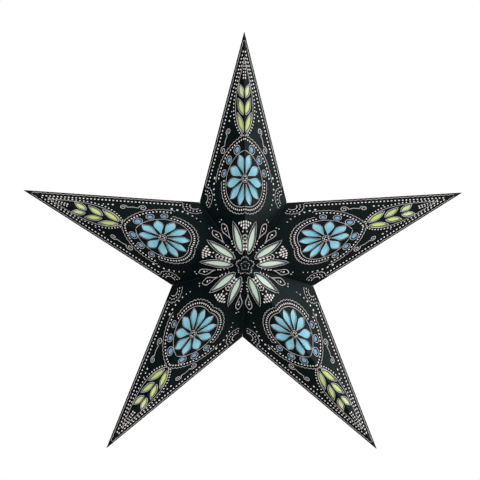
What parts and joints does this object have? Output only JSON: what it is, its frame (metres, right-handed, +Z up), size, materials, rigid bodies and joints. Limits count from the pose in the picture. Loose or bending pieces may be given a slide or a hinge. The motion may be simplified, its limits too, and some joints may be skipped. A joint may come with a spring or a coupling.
{
  "type": "paper star lantern",
  "caption": "Hanging folded-paper star lantern with cut windows and coloured liners, a wire spreader, a lamp holder and a bulb; it folds flat.",
  "frame": {"origin": "outer tip of the top point, where the lantern hangs", "axes": "+Z up through the top point; the front of the star looks along -Y; +X to the right seen from the front"},
  "size_m": [0.5688, 0.197, 0.541],
  "materials": {
    "black_card": "stiff dark card with a printed design, slightly glossy",
    "turquoise_liner": "translucent coloured paper",
    "flap_card": "unprinted stiff dark card",
    "hook_and_loop": "woven hook and loop tape",
    "grey_board": "stiff grey board",
    "galvanised_wire": "galvanised steel wire",
    "holder_plastic": "moulded off-white plastic",
    "brass": "plain brass",
    "opal_glass": "opal glass"
  },
  "bodies": {
    "root": {"bulb_glass": "opal_glass", "bulb_screw_cap": "brass", "centre_contact": "brass", "clamp_ring": "holder_plastic", "hanging_eyelet": "brass", "hanging_tab": "grey_board", "holder_cap": "holder_plastic", "holder_sleeve": "holder_plastic", "spreader_arm_back": "galvanised_wire", "spreader_arm_front": "galvanised_wire", "spreader_ring": "galvanised_wire"},
    "left_lower_back": {"left_lower_back_liner": "turquoise_liner", "left_lower_back_panel": "black_card"},
    "left_lower_front": {"left_lower_front_liner": "turquoise_liner", "left_lower_front_panel": "black_card"},
    "left_upper_back": {"left_upper_back_liner": "turquoise_liner", "left_upper_back_panel": "black_card"},
    "left_upper_front": {"left_upper_front_liner": "turquoise_liner", "left_upper_front_panel": "black_card"},
    "lower_left_inner_back": {"lower_left_inner_back_liner": "turquoise_liner", "lower_left_inner_back_panel": "black_card", "seam_dot_back_hook": "hook_and_loop", "seam_flap_back_left": "flap_card"},
    "lower_left_inner_front": {"lower_left_inner_front_liner": "turquoise_liner", "lower_left_inner_front_panel": "black_card", "seam_dot_front_hook": "hook_and_loop", "seam_flap_front_left": "flap_card"},
    "lower_left_outer_back": {"lower_left_outer_back_liner": "turquoise_liner", "lower_left_outer_back_panel": "black_card"},
    "lower_left_outer_front": {"lower_left_outer_front_liner": "turquoise_liner", "lower_left_outer_front_panel": "black_card"},
    "lower_right_inner_back": {"lower_right_inner_back_liner": "turquoise_liner", "lower_right_inner_back_panel": "black_card", "seam_dot_back_loop": "hook_and_loop", "seam_flap_back_right": "flap_card"},
    "lower_right_inner_front": {"lower_right_inner_front_liner": "turquoise_liner", "lower_right_inner_front_panel": "black_card", "seam_dot_front_loop": "hook_and_loop", "seam_flap_front_right": "flap_card"},
    "lower_right_outer_back": {"lower_right_outer_back_liner": "turquoise_liner", "lower_right_outer_back_panel": "black_card"},
    "lower_right_outer_front": {"lower_right_outer_front_liner": "turquoise_liner", "lower_right_outer_front_panel": "black_card"},
    "right_lower_back": {"right_lower_back_liner": "turquoise_liner", "right_lower_back_panel": "black_card"},
    "right_lower_front": {"right_lower_front_liner": "turquoise_liner", "right_lower_front_panel": "black_card"},
    "right_upper_back": {"right_upper_back_liner": "turquoise_liner", "right_upper_back_panel": "black_card"},
    "right_upper_front": {"right_upper_front_liner": "turquoise_liner", "right_upper_front_panel": "black_card"},
    "top_left_back": {"top_left_back_liner": "turquoise_liner", "top_left_back_panel": "black_card"},
    "top_left_front": {"top_left_front_liner": "turquoise_liner", "top_left_front_panel": "black_card"},
    "top_right_back": {"top_right_back_liner": "turquoise_liner", "top_right_back_panel": "black_card"},
    "top_right_front": {"top_right_front_liner": "turquoise_liner", "top_right_front_panel": "black_card"}
  },
  "joints": [
    {"name": "top_right_front_hinge", "type": "hinge", "parent": "root", "child": "top_right_front", "pos_m": [0, -0.09819, -0.3006], "axis": [0, 0.3162, 0.9487], "range_deg": [0, 36.89]},
    {"name": "top_right_back_hinge", "type": "hinge", "parent": "top_right_front", "child": "top_right_back", "pos_m": [0.00024, 0, 0.00006], "axis": [0.2476, 0, -0.9689], "range_deg": [0, 69.44]},
    {"name": "right_upper_front_hinge", "type": "hinge", "parent": "top_right_front", "child": "right_upper_front", "pos_m": [0.0001, -0.10016, -0.29986], "axis": [-0.4082, -0.7196, -0.5618], "range_deg": [0, 109.85]},
    {"name": "right_upper_back_hinge", "type": "hinge", "parent": "right_upper_front", "child": "right_upper_back", "pos_m": [0.2853, 0, -0.20705], "axis": [0.998, 0, 0.0639], "range_deg": [0, 69.44]},
    {"name": "right_lower_front_hinge", "type": "hinge", "parent": "right_upper_front", "child": "right_lower_front", "pos_m": [-0.00057, -0.09819, -0.30019], "axis": [0.9023, 0.3162, 0.2932], "range_deg": [0, 73.78]},
    {"name": "right_lower_back_hinge", "type": "hinge", "parent": "right_lower_front", "child": "right_lower_back", "pos_m": [0.28545, 0, -0.20751], "axis": [-0.8449, 0, -0.5349], "range_deg": [0, 69.44]},
    {"name": "lower_right_outer_front_hinge", "type": "hinge", "parent": "right_lower_front", "child": "lower_right_outer_front", "pos_m": [0.00016, -0.10016, -0.30005], "axis": [-0.6604, -0.7196, 0.2146], "range_deg": [0, 109.85]},
    {"name": "lower_right_outer_back_hinge", "type": "hinge", "parent": "lower_right_outer_front", "child": "lower_right_outer_back", "pos_m": [0.17657, 0, -0.54261], "axis": [0.3691, 0, -0.9294], "range_deg": [0, 69.44]},
    {"name": "lower_right_inner_front_hinge", "type": "hinge", "parent": "lower_right_outer_front", "child": "lower_right_inner_front", "pos_m": [-0.00035, -0.09819, -0.29951], "axis": [0.5576, 0.3162, -0.7675], "range_deg": [0, 73.78]},
    {"name": "lower_right_inner_back_hinge", "type": "hinge", "parent": "lower_right_inner_front", "child": "lower_right_inner_back", "pos_m": [0.17618, 0, -0.5429], "axis": [-0.7698, 0, 0.6383], "range_deg": [0, 69.44]},
    {"name": "top_left_front_hinge", "type": "hinge", "parent": "root", "child": "top_left_front", "pos_m": [0, -0.09819, -0.3006], "axis": [0, -0.3162, -0.9487], "range_deg": [0, 36.89]},
    {"name": "top_left_back_hinge", "type": "hinge", "parent": "top_left_front", "child": "top_left_back", "pos_m": [-0.00024, 0, 0.00006], "axis": [0.2476, 0, 0.9689], "range_deg": [0, 69.44]},
    {"name": "left_upper_front_hinge", "type": "hinge", "parent": "top_left_front", "child": "left_upper_front", "pos_m": [-0.0001, -0.10016, -0.29986], "axis": [-0.4082, 0.7196, 0.5618], "range_deg": [0, 109.85]},
    {"name": "left_upper_back_hinge", "type": "hinge", "parent": "left_upper_front", "child": "left_upper_back", "pos_m": [-0.2853, 0, -0.20705], "axis": [0.998, 0, -0.0639], "range_deg": [0, 69.44]},
    {"name": "left_lower_front_hinge", "type": "hinge", "parent": "left_upper_front", "child": "left_lower_front", "pos_m": [0.00057, -0.09819, -0.30019], "axis": [0.9023, -0.3162, -0.2932], "range_deg": [0, 73.78]},
    {"name": "left_lower_back_hinge", "type": "hinge", "parent": "left_lower_front", "child": "left_lower_back", "pos_m": [-0.28545, 0, -0.20751], "axis": [-0.8449, 0, 0.5349], "range_deg": [0, 69.44]},
    {"name": "lower_left_outer_front_hinge", "type": "hinge", "parent": "left_lower_front", "child": "lower_left_outer_front", "pos_m": [-0.00016, -0.10016, -0.30005], "axis": [-0.6604, 0.7196, -0.2146], "range_deg": [0, 109.85]},
    {"name": "lower_left_outer_back_hinge", "type": "hinge", "parent": "lower_left_outer_front", "child": "lower_left_outer_back", "pos_m": [-0.17657, 0, -0.54261], "axis": [0.3691, 0, 0.9294], "range_deg": [0, 69.44]},
    {"name": "lower_left_inner_front_hinge", "type": "hinge", "parent": "lower_left_outer_front", "child": "lower_left_inner_front", "pos_m": [0.00035, -0.09819, -0.29951], "axis": [0.5576, -0.3162, 0.7675], "range_deg": [0, 73.78]},
    {"name": "lower_left_inner_back_hinge", "type": "hinge", "parent": "lower_left_inner_front", "child": "lower_left_inner_back", "pos_m": [-0.17618, 0, -0.5429], "axis": [-0.7698, 0, -0.6383], "range_deg": [0, 69.44]}
  ],
  "couplings": [
    {"joint": "top_right_back_hinge", "follows": "top_right_front_hinge", "ratio": 1.8822},
    {"joint": "right_upper_front_hinge", "follows": "top_right_front_hinge", "ratio": 2.9777},
    {"joint": "right_upper_back_hinge", "follows": "top_right_front_hinge", "ratio": 1.8822},
    {"joint": "right_lower_front_hinge", "follows": "top_right_front_hinge", "ratio": 2},
    {"joint": "right_lower_back_hinge", "follows": "top_right_front_hinge", "ratio": 1.8822},
    {"joint": "lower_right_outer_front_hinge", "follows": "top_right_front_hinge", "ratio": 2.9777},
    {"joint": "lower_right_outer_back_hinge", "follows": "top_right_front_hinge", "ratio": 1.8822},
    {"joint": "lower_right_inner_front_hinge", "follows": "top_right_front_hinge", "ratio": 2},
    {"joint": "lower_right_inner_back_hinge", "follows": "top_right_front_hinge", "ratio": 1.8822},
    {"joint": "top_left_front_hinge", "follows": "top_right_front_hinge", "ratio": 1},
    {"joint": "top_left_back_hinge", "follows": "top_right_front_hinge", "ratio": 1.8822},
    {"joint": "left_upper_front_hinge", "follows": "top_right_front_hinge", "ratio": 2.9777},
    {"joint": "left_upper_back_hinge", "follows": "top_right_front_hinge", "ratio": 1.8822},
    {"joint": "left_lower_front_hinge", "follows": "top_right_front_hinge", "ratio": 2},
    {"joint": "left_lower_back_hinge", "follows": "top_right_front_hinge", "ratio": 1.8822},
    {"joint": "lower_left_outer_front_hinge", "follows": "top_right_front_hinge", "ratio": 2.9777},
    {"joint": "lower_left_outer_back_hinge", "follows": "top_right_front_hinge", "ratio": 1.8822},
    {"joint": "lower_left_inner_front_hinge", "follows": "top_right_front_hinge", "ratio": 2},
    {"joint": "lower_left_inner_back_hinge", "follows": "top_right_front_hinge", "ratio": 1.8822}
  ]
}
